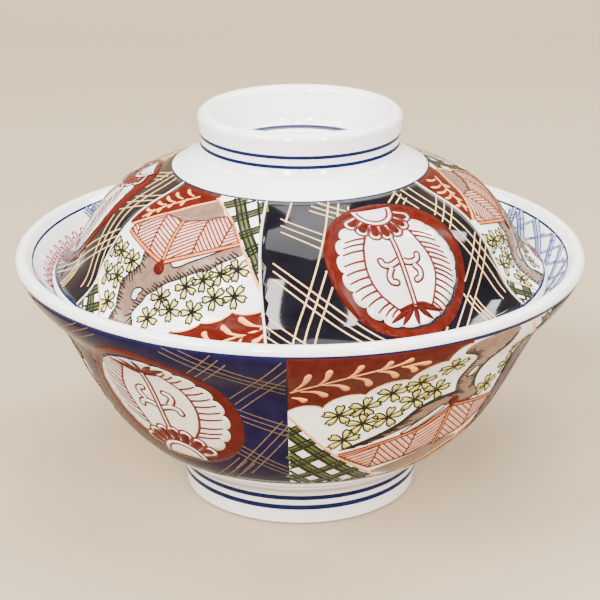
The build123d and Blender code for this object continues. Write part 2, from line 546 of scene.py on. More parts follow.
PETAL_TURNS = (-61, -41, -20, 0, 20, 41, 61)
BLADE_TIPS = ((0.36, 0.73), (0.215, 0.78), (-0.01, 0.81), (-0.24, 0.775), (-0.41, 0.695))
OVAL_RIGHT = [(0.34, -0.46), (0.435, -0.29), (0.495, -0.06), (0.487, 0.15), (0.42, 0.33), (0.30, 0.48),
              (0.21, 0.57)]
OVAL_LEFT = [(-0.29, -0.47), (-0.36, -0.26), (-0.43, -0.05), (-0.45, 0.13), (-0.42, 0.29), (-0.33, 0.49),
             (-0.27, 0.60)]
TENDRILS = [
    [(0.03, -0.065), (0.13, -0.02), (0.205, -0.01), (0.262, -0.035), (0.28, -0.085)],
    [(0.16, 0.02), (0.22, 0.12), (0.21, 0.20), (0.15, 0.225)],
    [(-0.03, -0.05), (-0.09, -0.015), (-0.17, -0.012), (-0.235, -0.04), (-0.25, -0.09)],
    [(-0.16, 0.025), (-0.22, 0.12), (-0.205, 0.20), (-0.145, 0.23)],
]


def smooth(points, closed=False, steps=8):
    """A flowing curve through a few given points."""
    p = np.asarray(points, float)
    p = np.vstack([p[-1:], p, p[:2]]) if closed else np.vstack([2 * p[0] - p[1], p, 2 * p[-1] - p[-2]])
    t = np.linspace(0, 1, steps, endpoint=False)[:, None]
    spans = []
    for a, b, c, d in zip(p[:-3], p[1:-2], p[2:-1], p[3:]):
        spans.append(b + t * (c - a) / 2 + t ** 2 * (2 * a - 5 * b + 4 * c - d) / 2
                     + t ** 3 * (3 * b - a - 3 * c + d) / 2)
    line = np.vstack(spans)
    return line if closed else np.vstack([line, p[-2:-1]])


def circle(centre, radius, start=0, end=360, count=48):
    """Points on an arc, counted from +x towards +y in degrees."""
    angles = np.radians(np.linspace(start, end, count, endpoint=end - start < 360))
    return np.column_stack([centre[0] + radius * np.cos(angles), centre[1] + radius * np.sin(angles)])


def set_out(points, centre, angle):
    """Points drawn along +x, turned to an angle in degrees and moved to a centre."""
    ahead, aside = heading(angle)
    return np.asarray(centre) + points[:, :1] * ahead + points[:, 1:] * aside


FLOWER_PETAL = np.vstack([[(0.26, 0.072)], circle((0.447, 0.0), 0.09, 90, -90, 12), [(0.26, -0.072)]])
FLOWER_SEED = np.vstack([[(0.27, 0.038)], circle((0.437, 0.0), 0.05, 90, -90, 8), [(0.27, -0.038)]])


def medallion(drawing, azimuth, centre, radius):
    """Drawn in shares of its radius: a runs across, b towards the rim, the flower at low b."""
    drawing.azimuth = azimuth

    def place(points):
        return np.asarray(points, float) * radius + (0, centre)

    line = 0.028 * radius
    core, fork = np.array([0.04, -0.90]), np.array([-0.03, 0.53])
    drawing.fill("red", place(circle((0, 0), 1.0)), SECOND)

    # The reserve's edge has shallow lobes on one side and deep ones on the other, over a navy shadow.
    turns, deep_from = np.arange(-146, 142.1, 2.0), 16
    lobe = np.sqrt(np.abs(np.sin(np.radians((turns - deep_from) * 10))))
    shallow = np.interp(turns, (-146, -125, -104, -85, -50, -15, deep_from),
                        (0.742, 0.753, 0.775, 0.815, 0.80, 0.80, 0.815))
    reach = np.where(turns > deep_from, 0.795 + 0.06 * lobe, shallow + 0.018 * lobe)
    white_edge = np.column_stack([np.sin(np.radians(turns)), np.cos(np.radians(turns))]) * reach[:, None]
    reserve = np.vstack([white_edge, [core]])
    drawing.fill("navy", place(reserve + (-0.03, 0.035)), THIRD)
    drawing.fill("white", place(reserve), FOURTH)

    # The oval's two sides, each with feathered veins that fan out from it.
    for side, oval, veins, lean, opening, length in (
            (1, OVAL_RIGHT, 12, 9, 34, 0.30), (-1, OVAL_LEFT, 15, 27, 30, 0.34)):
        edge = smooth(oval)
        drawing.stroke("iron_red", place(edge), line * 1.1, FIFTH)
        for share in np.linspace(0, 1, veins):
            root = edge[int(round((0.02 + 0.96 * share) * (len(edge) - 1)))]
            ahead = heading(lean + opening * share ** 2)[0] * (side, 1)
            tip = root + (length - 0.15 * share ** 3) * ahead
            middle = (root + tip) / 2 + 0.012 * side * np.array([ahead[1], -ahead[0]])
            vein = place(smooth([root, middle, tip]))
            drawing.stroke("iron_red", vein, lambda t: line * (1.2 - 0.45 * t), FIFTH)

    # Scrolls with round ends, and the stem between them.
    thick = 0.105 * radius
    for tendril in TENDRILS:
        curl = place(smooth(tendril))
        for enamel, width, level in (("iron_red", thick, FIFTH), ("white", thick - 2 * line, FIFTH + 0.03)):
            drawing.stroke(enamel, curl, width, level)
            drawing.fill(enamel, circle(curl[-1], width / 2, count=20), level)
    stem = smooth([(0.01, -0.39), (0.0, 0.1), fork])
    drawing.stroke("white", place(stem), 0.05 * radius, FIFTH + 0.05)
    for side in (-0.026, 0.026):
        drawing.stroke("iron_red", place(stem + (side, 0)), line, FIFTH + 0.07)

    # Red blades from the fork of the stem, and the arch across it.
    for tip in BLADE_TIPS:
        drawing.stroke("red", place([fork + 0.1 * (np.array(tip) - fork), tip]),
                       lambda t: radius * 0.078 * np.sin(np.pi * (0.1 + 0.86 * t)) ** 0.8, FIFTH)
    arch = smooth([(0.21, 0.585), (0.09, 0.55), fork, (-0.15, 0.54), (-0.27, 0.60)])
    drawing.stroke("red", place(arch), line * 1.6, FIFTH + 0.02)

    # The half chrysanthemum.
    for turn in PETAL_TURNS:
        petal = place(set_out(FLOWER_PETAL, core, 90 - turn))
        drawing.fill("white", petal, FIFTH)
        drawing.stroke("iron_red", petal, line, FIFTH + 0.03)
        drawing.fill("red", place(set_out(FLOWER_SEED, core, 90 - turn)), FIFTH + 0.03)
    heart = place(circle(core, 0.288, 0, 180, 24))
    drawing.fill("white", heart, FIFTH + 0.04)
    drawing.stroke("iron_red", heart, line, FIFTH + 0.07)
    drawing.stroke("iron_red", place(circle(core, 0.215, 4, 176, 24)), line * 1.1, FIFTH + 0.07)


# Picture panel. Cherry blossom on a gnarled branch, a folded fan, a cloud, red corners with gold
# leaf sprays and a green plaid wedge, all printed in enamel and touched in by hand.

BARK_STEP = 1.0
RIB_WIDTH = 1.0
BLOSSOM_PETAL = np.array([(0.08, -0.02), (0.42, -0.19), (0.72, -0.27), (1.0, -0.17), (0.86, 0.0), (1.0, 0.17),
                          (0.72, 0.27), (0.42, 0.19), (0.08, 0.02)])


def tapering(width):
    """A leaf's width from its thin root to its full round tip."""
    return lambda t: width * np.where(t < 0.82, 0.28 + 0.72 * (t / 0.82) ** 1.3,
                                      np.sqrt(np.clip(1 - ((t - 0.82) / 0.19) ** 2, 0, 1)))


def leaf_spray(drawing, stem, leaves, width, keep):
    """A gold stem with leaves; each leaf has its root, its tip and a bow in shares of its length."""
    drawing.stroke("gold", smooth(stem), width * 0.42, SECOND, keep)
    for *ends, bow in leaves:
        root, tip = np.array(ends, float)
        aside = np.array([root[1] - tip[1], tip[0] - root[0]])
        leaf = smooth([root, (root + tip) / 2 + bow * aside, tip])
        drawing.stroke("gold", leaf, tapering(width), SECOND, keep)


def blossom(drawing, centre, size, turn, line, keep):
    """Five notched petals in pale yellow, outlined in black, round a dark heart."""
    for index in range(5):
        outline = set_out(size * BLOSSOM_PETAL, centre, turn + 72 * index)
        if keep(outline).all():
            drawing.fill("yellow", outline, SECOND)
            drawing.stroke("black", outline, line * 1.1, THIRD)
    if keep(np.array([centre])).all():
        drawing.fill("black", circle(centre, size * 0.11, count=10), THIRD)


def plaid(drawing, bands, width, line, keep):
    """Green bands with black edges and a black middle line, crossing each other."""
    for band in bands:
        path = spaced(band, 0.4)
        drawing.stroke("green", path, width, SECOND, keep)
        for side, weight in ((-0.5, 1.75), (0, 1.3), (0.5, 1.75)):
            drawing.stroke("black", path + leftward(path) * side * width, line * weight, THIRD, keep)


def folded_fan(drawing, fan, line, keep_outline):
    """Pink pleats with slanting lines, orange ribs with dark edges and a red rivet shaped like a drop."""
    drawing.fill("pink", fan["paper"], SECOND, keep_outline)
    for pleat, slant, spacing in fan["pleats"]:
        drawing.hatch("fan_line", pleat, slant, spacing, line, THIRD)
    drawing.stroke("fan_line", fan["paper"] + fan["paper"][:1], line * 1.1, FOURTH)
    for (near, *_), (far, *_) in zip(fan["pleats"], fan["pleats"][1:]):
        drawing.stroke("fan_line", [corner for corner in near if corner in far], line * 1.1, FOURTH)
    for rib in fan["ribs"]:
        path = spaced(rib, drawing.stroke_step)
        drawing.stroke("orange", path, RIB_WIDTH, FOURTH + 0.02)
        for side in (-0.5, 0.5):
            drawing.stroke("fan_line", path + leftward(path) * side * RIB_WIDTH, line * 0.8, FIFTH + 0.02)
    middle, tip = fan["rivet"]
    point_at = math.degrees(math.atan2(tip[1] - middle[1], tip[0] - middle[0]))
    drop = np.vstack([circle(middle, fan["rivet_size"], point_at + 45, point_at + 315, 24), [tip]])
    drawing.fill("red", drop, FIFTH + 0.05)


def picture(drawing, azimuth, outline, art, line):
    """One picture panel from its given points."""
    drawing.azimuth = azimuth

    def keep(points):
        return inside(points, outline)

    for wash in ("cloud", "branch"):
        drawing.fill("taupe", smooth(art[wash], closed=True), GROUND, outline)
    for gap in art["gaps"]:
        drawing.fill("white", smooth(gap, closed=True), SECOND, outline)
        drawing.stroke("black", smooth(gap + gap[:1]), line, THIRD, keep)
    for bark, reach, lean in art["bark"]:
        edge = smooth(bark)
        drawing.stroke("black", edge, line * 0.5, THIRD, keep)
        lengths = running(edge)
        ticks = np.arange(0, lengths[-1], BARK_STEP)
        edge = np.column_stack([np.interp(ticks, lengths, side) for side in edge.T])
        for index, (point, inward) in enumerate(zip(edge, leftward(edge))):
            length = reach * (0.75 + 0.25 * math.sin(index * 1.7))
            way = inward + lean * np.array([inward[1], -inward[0]])
            tick = [point, point + way * length]
            drawing.stroke("black", tick, lambda t: line * (1.35 - 0.75 * t), THIRD, keep)
    for corner in art["red_corners"]:
        drawing.fill("red", corner, SECOND - 0.01, outline)
        edge = spaced(np.vstack([corner, corner[:1]]), TRIM_STEP)
        drawing.stroke("gold", edge, art["trim"] * 0.6, SECOND + 0.01, keep)
    for stem, leaves, width in art["sprays"]:
        leaf_spray(drawing, stem, leaves, width, keep)
    for bands, wedge in (("plaid", "wedge"), ("far_plaid", "far_wedge")):
        plaid(drawing, art[bands], art["band"], line * 0.9, lambda p: keep(p) & inside(p, art[wedge]))
    for trim in art["gold_lines"]:
        drawing.stroke("gold", spaced(smooth(trim), TRIM_STEP), art["trim"], FOURTH, keep)
    folded_fan(drawing, art["fan"], line, outline)
    for x, y, turn in art["blossoms"]:
        blossom(drawing, (x, y), art["blossom"], turn, line, keep)


def scallops(cusps, depth, steps=10):
    """A row of round lobes between cusps, each bulging to the left of the way along."""
    share = np.linspace(0, 1, steps, endpoint=False)[:, None]
    cusps = np.array(cusps, float)
    line = []
    for a, b in zip(cusps[:-1], cusps[1:]):
        aside = np.array([a[1] - b[1], b[0] - a[0]]) * depth
        line.append(a + (b - a) * share + aside * np.sin(np.pi * share) ** 0.7)
    return np.vstack([*line, cusps[-1:]])


# Bowl decoration. Three navy panels with medallions take turns with three picture panels; the pattern
# stops at a line above the foot and at another below the lip.

PATTERN_REPEATS = 3
EDGE_WELD = 0.0002 * MM

# Limits are heights in the drawing, and the rows say how far along the wall such heights lie. Each border
# has an azimuth at its low and at its high end; the disc has its azimuth, its height and its radius.
bowl_limits = (16.4, 75.4)
bowl_drawn_rows, bowl_wall_rows = (0, 30, 45, 60, 80), (-0.9, 29.1, 43.9, 57.55, 77.8)
bowl_azimuths = (-64.0, -64.0), (-3.1, -2.4), (56.0, 56.0)
bowl_centres = -31.0, 30.0
bowl_disc = -35.0, 47.0, 23.5
bowl_gold_width, bowl_line, bowl_border_line = 0.3, 0.38, 0.0
bowl_runs, bowl_places = wall_line(bowl_outside, foot_root_inset)
bowl_wall_line = np.interp(bowl_runs, bowl_wall_rows, bowl_drawn_rows), bowl_places

# The lattice is the same on both sides of the medallion, apart from its first group.
bowl_lattice_axis, bowl_lattice_lines = -4, 3
bowl_lattice = [((8, 63), (20, 75), (1.5, -1.5), bowl_lattice_lines)]
for (x, y), (end_x, end_y), (step_x, step_y) in (
        ((10, 73.5), (40, 57), (1, 2)), ((20.5, 53.5), (41, 74), (1.6, -1.4)),
        ((22, 51.3), (37, 43.6), (-0.2, -2.2)), ((33.5, 47), (15, 24), (1.7, -1)),
        ((17, 39), (32, 24.6), (-1, -1.7)), ((6, 16), (18, 30), (1.7, -1))):
    for side in (1, -1):
        bowl_lattice.append(((bowl_lattice_axis + side * x, y), (bowl_lattice_axis + side * end_x, end_y),
                             (side * step_x, step_y), bowl_lattice_lines))

bowl_picture = {
    "cloud": [(-7, 21.5), (0, 25.3), (8, 28.2), (12, 29.5), (19, 28), (17, 22.5), (10, 17), (2, 16.5),
              (-4, 19)],
    "branch": [(-20, 34.3), (-11, 39.5), (-6, 43), (-2, 47.5), (3, 50), (8.8, 50.6), (8.2, 55.5), (9.3, 60),
               (9.6, 65), (8, 68), (3.5, 70.3), (5, 73.5), (14, 75), (21, 74), (20, 67), (16.5, 60),
               (15.5, 52), (19, 45.5), (14, 44), (9, 45.5), (3, 43), (-5, 39.5), (-12, 36.5)],
    "gaps": [[(-4.5, 38.2), (-1.5, 40.8), (2, 43.3), (6, 46.1), (7, 45), (3.6, 41.9), (0, 39.4), (-3, 38)],
             [(11, 55.5), (13.3, 56), (14.4, 58), (13.3, 60), (11.8, 58.5)]],
    "bark": [([(8.8, 50.6), (3, 50), (-2, 47.5), (-6, 43), (-11, 39.5), (-20, 34.5)], 2.4, -1.9),
             ([(3.5, 70.3), (8, 68), (9.6, 65), (9.3, 60), (8.2, 55.5), (8.8, 50.6)], 2.4, 0.3),
             ([(15.7, 50.5), (15.2, 55), (16.5, 60), (20, 67), (21, 72)], 2.4, -0.3)],
    "red_corners": [
        np.vstack([scallops([(-37.2, 50.2), (-28.2, 52.4), (-18.5, 56.9), (-8.4, 61.7), (-0.6, 68.5),
                             (4.5, 74)], 0.24),
                   [(4.5, 84), (-46, 84), (-46, 50)]]),
        np.array([(30, 35.5), (3.5, 17), (3.5, 15), (44, 15), (44, 36)], float)],
    "sprays": [
        ([(-37.9, 59.5), (-32.1, 63.7), (-26.4, 67.1), (-20.9, 69.2), (-16.3, 70.5), (-12.4, 72.2)], [
            ((-37.3, 60.4), (-36.7, 69.5), -0.08), ((-32.5, 63.5), (-32.2, 71.2), -0.08),
            ((-26.7, 67), (-24.7, 72.4), -0.08), ((-19.5, 69.7), (-17.4, 72.8), -0.08),
            ((-15.5, 70.5), (-11.8, 72.6), 0.02), ((-13.4, 69.8), (-6.1, 69.6), 0.06),
            ((-36.9, 57.2), (-32.9, 55.4), 0.08), ((-35.6, 60.2), (-28.3, 57.5), 0.14),
            ((-31.6, 63.7), (-23.8, 60.1), 0.14), ((-25.6, 67.2), (-18.9, 61.4), 0.14),
            ((-20, 69.2), (-13.3, 64.6), 0.14), ((-14.2, 70), (-9.1, 66.4), 0.14)], 1.8),
        ([(9, 17.5), (18, 22.3), (27, 30)], [
            ((13, 19.5), (19, 18.2), -0.1), ((17.5, 22), (24, 20.8), -0.1),
            ((22, 25.5), (28.5, 24.5), -0.1), ((19.5, 23.4), (20.5, 27), 0.1),
            ((24.5, 27.7), (25.5, 31), 0.1)], 1.7)],
    "wedge": [(-46, 49.4), (-36.3, 49.4), (-28, 40), (-20, 32), (-12, 25), (-3.5, 16.5), (-46, 16)],
    "plaid": [[(-39.5, 47), (-7, 17)], [(-42, 42), (-14.5, 16.6)], [(-38, 31), (-22, 16.2)],
              [(-44, 34.5), (-29, 47)], [(-42, 27), (-24, 42)], [(-38, 21.3), (-18, 38)],
              [(-32, 16.7), (-13, 32.5)], [(-22, 16.4), (-7, 29)], [(-12, 15.6), (-4, 22.3)]],
    "far_wedge": [(44, 55.5), (37, 63.5), (30.5, 69), (26.5, 74), (50, 75), (50, 55)],
    "far_plaid": [[(31, 75), (47, 56)], [(37.5, 75), (50, 60)], [(28, 65), (43, 76)], [(34, 62), (50, 73)]],
    "band": 2.5, "trim": 0.55,
    "gold_lines": [[(-36.8, 50), (-28, 40), (-20, 32), (-12, 25), (-3.5, 16.5)],
                   [(31, 36), (16.8, 26.3), (2, 16)], [(44, 55.5), (37, 63.5), (30.5, 69), (26.5, 74)]],
    "fan": {
        "paper": [(-19.6, 32.2), (-9.3, 35.6), (0.6, 38.4), (9.3, 44.4), (27.7, 41), (26.3, 36.5),
                  (19.4, 31.5), (8.9, 29.3), (0.1, 26.5), (-9, 24.2)],
        "pleats": [([(-19.6, 32.2), (-9.3, 35.6), (-9, 24.2), (-18.8, 30.6)], 23, 1.5),
                   ([(-9.3, 35.6), (0.6, 38.4), (0.1, 26.5), (-9, 24.2)], -48, 1.42),
                   ([(0.6, 38.4), (9.3, 44.4), (8.9, 29.3), (0.1, 26.5)], 31, 1.5),
                   ([(9.3, 44.4), (18.9, 42.5), (19.4, 31.5), (8.9, 29.3)], -44, 1.42),
                   ([(18.9, 42.5), (27.7, 41), (26.3, 36.5), (19.4, 31.5)], 30, 1.5)],
        "ribs": [[(-19.6, 32.2), (-9.3, 35.6), (0.6, 38.4), (9.3, 44.4)], [(9.5, 45.8), (8.9, 29)],
                 [(9.3, 44.8), (27.9, 41)]],
        "rivet": ((9.7, 46.6), (9.3, 43.6)), "rivet_size": 1.7},
    "blossom": 4.3,
    "blossoms": [(-23.5, 49, 96), (-17.5, 51.5, 88), (-11.5, 56.2, 84), (-4.3, 58.8, 100), (-4.2, 51.6, 92),
                 (1.6, 53.8, 80), (-16.5, 44.8, 98), (-10.2, 46, 86), (-20, 38.8, 84), (3, 64.5, 110),
                 (21.5, 47.8, 95), (29.5, 45.8, 85), (35.7, 45.1, 90), (28.8, 53.5, 100), (36.4, 54.7, 84),
                 (29.2, 62.4, 92)],
}

bowl_enamels = {
    "navy": enamel_paint("navy_ground_enamel", "#15112c", "#1d193c", 5.0, 0.1, 0.025),
    # The bowl's gold lattice is the lid's gold made darker and browner: painted shade for the bowl's flank.
    "lattice": enamel_paint("worn_gold_line", "#604d39", "#78654d", 1.5, 0.3, 0.03),
    "red": enamel_paint("iron_red_ground", "#471510", "#561f19", 3.0, 0.14, 0.03),
    "white": glazed_porcelain("reserved_white_glaze", "#dedad6", "#d5d0cc"),
    "gold": enamel_paint("pale_gold_lustre", "#e09657", "#e9a970", 1.5, 0.28, 0.2),
    "iron_red": enamel_paint("iron_red_line", "#4e130d", "#611f16", 1.2, 0.2, 0.12),
    "pink": enamel_paint("pink_wash", "#cf9583", "#dcab9b", 2.5, 0.16, 0.2),
    "fan_line": enamel_paint("brown_red_line", "#521a11", "#662818", 1.2, 0.2, 0.12),
    "orange": enamel_paint("orange_rib_enamel", "#c66a32", "#d5824a", 1.8, 0.18, 0.2),
    "taupe": enamel_paint("taupe_bark_wash", "#6a5144", "#80675a", 2.2, 0.16, 0.2),
    "green": enamel_paint("leaf_green_wash", "#3c4b1c", "#52602d", 1.8, 0.16, 0.2),
    "yellow": enamel_paint("straw_yellow_wash", "#cbc556", "#d6d072", 1.6, 0.16, 0.2),
    "black": enamel_paint("black_outline", "#0f0c0a", "#1c1714", 1.2, 0.22, 0.12),
}


def fired_tree():
    """Wraps flat drawings onto a turned wall: x runs round it, y along it, each shape a thin closed slab."""
    tree, given = node_tree("fire_onto_the_wall", {
        "Wall": "NodeSocketObject", "Wall Start": "NodeSocketFloat", "Sense": "NodeSocketFloat",
        "Sunk": "NodeSocketFloat", "Repeats": "NodeSocketInt", "Material": "NodeSocketMaterial"})
    level, azimuth = [add(tree, "GeometryNodeInputNamedAttribute", {"Name": name}, data_type="FLOAT")
                      for name in ("level", "azimuth")]
    height = add(tree, MATHS, {0: level, 1: given["Sunk"]}, operation="ADD")
    raised = add(tree, "GeometryNodeExtrudeMesh", {
        "Mesh": given["Geometry"], "Offset": (0, 0, 1), "Offset Scale": height, "Individual": False},
        mode="FACES")
    under = add(tree, "GeometryNodeFlipFaces", {"Mesh": given["Geometry"]})
    faced = add(tree, "GeometryNodeSetShadeSmooth", {"Geometry": raised, "Selection": raised.outputs["Top"]})
    both = add(tree, "GeometryNodeJoinGeometry", {"Geometry": faced})
    tree.links.new(under.outputs[0], both.inputs[0])
    flat = add(tree, "ShaderNodeSeparateXYZ", {0: add(tree, "GeometryNodeInputPosition")}).outputs
    wall = add(tree, "GeometryNodeObjectInfo", {"Object": given["Wall"]}).outputs["Geometry"]
    run = add(tree, MATHS, {0: flat["Y"], 1: given["Wall Start"]}, operation="SUBTRACT")
    reach = add(tree, MATHS, {0: run, 1: MM}, operation="MULTIPLY")
    spot = add(tree, "GeometryNodeSampleCurve", {"Curves": wall, "Length": reach},
               mode="LENGTH", use_all_curves=True).outputs
    ground = add(tree, "ShaderNodeSeparateXYZ", {0: spot["Position"]}).outputs
    slope = add(tree, "ShaderNodeSeparateXYZ", {0: spot["Tangent"]}).outputs
    lift = add(tree, MATHS, {0: flat["Z"], 1: given["Sunk"]}, operation="SUBTRACT")
    rise = add(tree, MATHS, {0: lift, 1: given["Sense"]}, operation="MULTIPLY")
    proud = add(tree, MATHS, {0: rise, 1: MM}, operation="MULTIPLY")
    fall = add(tree, MATHS, {0: proud, 1: -1.0}, operation="MULTIPLY")
    radius = add(tree, MATHS, {0: slope["Z"], 1: proud, 2: ground["X"]}, operation="MULTIPLY_ADD")
    tall = add(tree, MATHS, {0: slope["X"], 1: fall, 2: ground["Z"]}, operation="MULTIPLY_ADD")
    back = add(tree, MATHS, {0: radius, 1: -1.0}, operation="MULTIPLY")
    front = add(tree, "ShaderNodeCombineXYZ", {"Y": back, "Z": tall})
    across = add(tree, MATHS, {0: flat["X"], 1: MM}, operation="MULTIPLY")
    round_it = add(tree, MATHS, {0: across, 1: ground["X"]}, operation="DIVIDE")
    centre = add(tree, MATHS, {0: azimuth}, operation="RADIANS")
    angle = add(tree, MATHS, {0: centre, 1: round_it}, operation="ADD")
    turn = add(tree, MATHS, {0: angle, 1: given["Sense"]}, operation="MULTIPLY")
    seated = add(tree, "ShaderNodeVectorRotate", {"Vector": front, "Angle": turn}, rotation_type="Z_AXIS")
    wrapped = add(tree, "GeometryNodeSetPosition", {"Geometry": both, "Position": seated})
    slab = add(tree, "GeometryNodeMergeByDistance", {"Geometry": wrapped, "Distance": EDGE_WELD})
    spots = add(tree, "GeometryNodePoints", {"Count": given["Repeats"]})
    share = add(tree, MATHS, {0: 2 * math.pi, 1: given["Repeats"]}, operation="DIVIDE")
    step = add(tree, MATHS, {0: add(tree, "GeometryNodeInputIndex"), 1: share}, operation="MULTIPLY")
    spin = add(tree, "ShaderNodeCombineXYZ", {"Z": step})
    copies = add(tree, "GeometryNodeInstanceOnPoints", {"Points": spots, "Instance": slab, "Rotation": spin})
    return finished(tree, copies, given["Material"])


firing = fired_tree()


def fire(drawing, part, body, enamels, wall, start, sense):
    """Wrap a drawing round a body's wall three times, one piece for each enamel."""
    for enamel, material in enamels.items():
        if enamel in drawing.shapes:
            name = part + "_" + material.name
            made_piece(name, drawing.mesh(enamel, name), firing, {
                "Wall": wall, "Wall Start": start, "Sense": sense, "Sunk": INK_SUNK,
                "Repeats": PATTERN_REPEATS, "Material": material}, body)


def decorate(drawing, wall, limits, azimuths, centres, groups, gold_width, disc, art, line, border_line):
    """Ground, lattice, medallion, picture and borders of one third of a body."""
    start, border, end = azimuths
    navy_centre, picture_centre = centres
    navy_panel = panel_outline(wall, navy_centre, start, border, *limits)
    picture_panel = panel_outline(wall, picture_centre, border, end, *limits)
    disc_azimuth, disc_at, disc_radius = disc
    disc_x = math.radians(disc_azimuth - navy_centre) * np.interp(disc_at, wall[0], wall[1][:, 0])

    def clear(points):
        return inside(points, navy_panel) & (np.hypot(*(points - (disc_x, disc_at)).T) > disc_radius)

    drawing.azimuth = navy_centre
    drawing.fill("navy", navy_panel, GROUND)
    lattice(drawing, groups, clear, gold_width)
    medallion(drawing, *disc)
    picture(drawing, picture_centre, picture_panel, art, line)
    if border_line:
        for side in (picture_panel[:PANEL_STEPS], picture_panel[PANEL_STEPS:]):
            drawing.stroke("white", side, border_line, FIFTH)


bowl_art = Drawing(bowl_drawn_rows, bowl_wall_rows)
decorate(bowl_art, bowl_wall_line, bowl_limits, bowl_azimuths, bowl_centres, bowl_lattice, bowl_gold_width,
         bowl_disc, bowl_picture, bowl_line, bowl_border_line)
fire(bowl_art, "bowl", "bowl", bowl_enamels, bowl_outside, foot_root_inset, 1)

# Rim band. Inside the lip, above the lid's edge, half chrysanthemums in thin red line take turns with
# stretches of pale cobalt trellis that have small brush marks in their gaps.

rim_top, rim_low = 2.4, 9.5
rim_trellis = (120.3, 117.8, 110.8, 100.0, 93.0, 82.7, 76.0, 66.0, 59.0, 49.5)
rim_marks = [(115.6, 4.2), (113.0, 6.6), (107.3, 7.4), (104.3, 4.5), (101.6, 3.2), (98.9, 4.0), (94.4, 7.1),
             (89.3, 6.5), (86.3, 3.8), (83.9, 3.0), (81.0, 4.2), (77.2, 7.2), (72.2, 6.4), (69.0, 3.6),
             (64.5, 4.2), (60.2, 7.2), (55.0, 6.0)]
rim_mark = [(-0.7, -0.5), (0.0, 0.35), (0.7, -0.7)]
rim_flower_azimuth, rim_flower_half = -96.0, 23.0
rim_petal_root, rim_petal_round, rim_petal_line = 0.6, 0.9, 0.45
rim_wash_width, rim_bar_width, rim_bar_sides, rim_mark_width = 1.5, 0.26, (-0.7, 0.0, 0.7), 0.4
rim_runs, rim_places = wall_line(bowl_inside)
rim_art = Drawing((0, 20), (0, 20))


def rim_point(azimuth, depth):
    """A place on the rim band: an azimuth in degrees and a distance below the lip in mm."""
    return np.array([math.radians(azimuth) * np.interp(depth, rim_runs, rim_places[:, 0]), depth])


for left, right in zip(rim_trellis[:-1], rim_trellis[1:]):
    for high, low in ((rim_top, rim_low), (rim_low, rim_top)):
        bar = np.array([rim_point(left, high), rim_point(right, low)])
        rim_art.stroke("wash", bar, rim_wash_width, GROUND)
        for side in rim_bar_sides:
            rim_art.stroke("cobalt", bar + side * leftward(bar), rim_bar_width, SECOND)
for azimuth, depth in rim_marks:
    rim_art.stroke("cobalt", smooth(rim_point(azimuth, depth) + rim_mark), rim_mark_width, SECOND)

rim_art.azimuth = rim_flower_azimuth
full_row = 11
for count, tips, level in ((full_row, 6.2, GROUND), (full_row - 1, 7.9, SECOND)):
    for x in np.linspace(-rim_flower_half, rim_flower_half, count) * count / full_row:
        root = np.array([0.9 * x, rim_low])
        along, rise = np.array([x, tips + 0.0018 * x ** 2]) - root
        cap = circle((math.hypot(along, rise) - rim_petal_round, 0), rim_petal_round, -90, 90, 10)
        petal = np.vstack([[(0, -rim_petal_root)], cap, [(0, rim_petal_root)]])
        petal = set_out(petal, root, math.degrees(math.atan2(rise, along)))
        rim_art.fill("pink", petal, level)
        rim_art.stroke("rose_red", petal, rim_petal_line, level + 0.03)
rim_enamels = {
    "wash": enamel_paint("pale_cobalt_wash", "#9aa6c8", "#b9c2da", 1.6, 0.07, 0.3),
    "cobalt": enamel_paint("thin_cobalt_line", "#2b376f", "#43508c", 1.2, 0.07, 0.3),
    "pink": enamel_paint("blush_wash", "#e2cfc9", "#ebded9", 1.6, 0.1, 0.3),
    "rose_red": enamel_paint("rose_red_line", "#84191d", "#9c3034", 1.2, 0.15, 0.12),
}
fire(rim_art, "rim", "bowl", rim_enamels, bowl_inside, 0.0, 1)

# Lid decoration. The bowl's pattern again, smaller and turned upside down with the lid, so that the
# flowers still grow away from the ring; here x runs to the left and y down towards the edge.

lid_limits = (4.3, 47.1)
lid_drawn_rows, lid_wall_rows = (0, 4.4, 12, 20, 50), (0, 4.6, 12.95, 21.1, 51.0)
lid_azimuths = (-60.0, -60.0), (14.0, 7.0), (60.0, 60.0)
lid_centres = -27.0, 29.0
lid_disc = -27.8, 26.4, 19.5
lid_gold_width, lid_line, lid_border_line = 0.42, 0.38, 0.6
lid_runs, lid_places = wall_line(lid_outside)
lid_wall_line = np.interp(lid_runs, lid_wall_rows, lid_drawn_rows), lid_places

lid_lattice = [
    ((31.5, 24), (8, 46), (0.6, 2.1), 3), ((9, 4), (33, 46), (-2.0, 1.2), 3),
    ((24, 10), (14, 17), (1, 2.3), 3), ((18.3, 4), (23.3, 11.2), (0, 0), 1),
    ((13, 4), (3, 10), (1.2, 1.5), 3), ((-9.5, 4), (-31.5, 43), (-2.2, -1.2), 3),
    ((-11, 4.2), (-3, 9.5), (-0.8, 1.6), 3), ((-15.5, 17), (-24, 9.7), (-1.8, 2.0), 3),
    ((-29, 24.3), (-6.5, 46.5), (-1.6, 1.9), 3), ((-17, 37.5), (-22, 47), (-2, 1), 3),
    ((36, 38), (26, 47), (1.5, 1.8), 3),
]

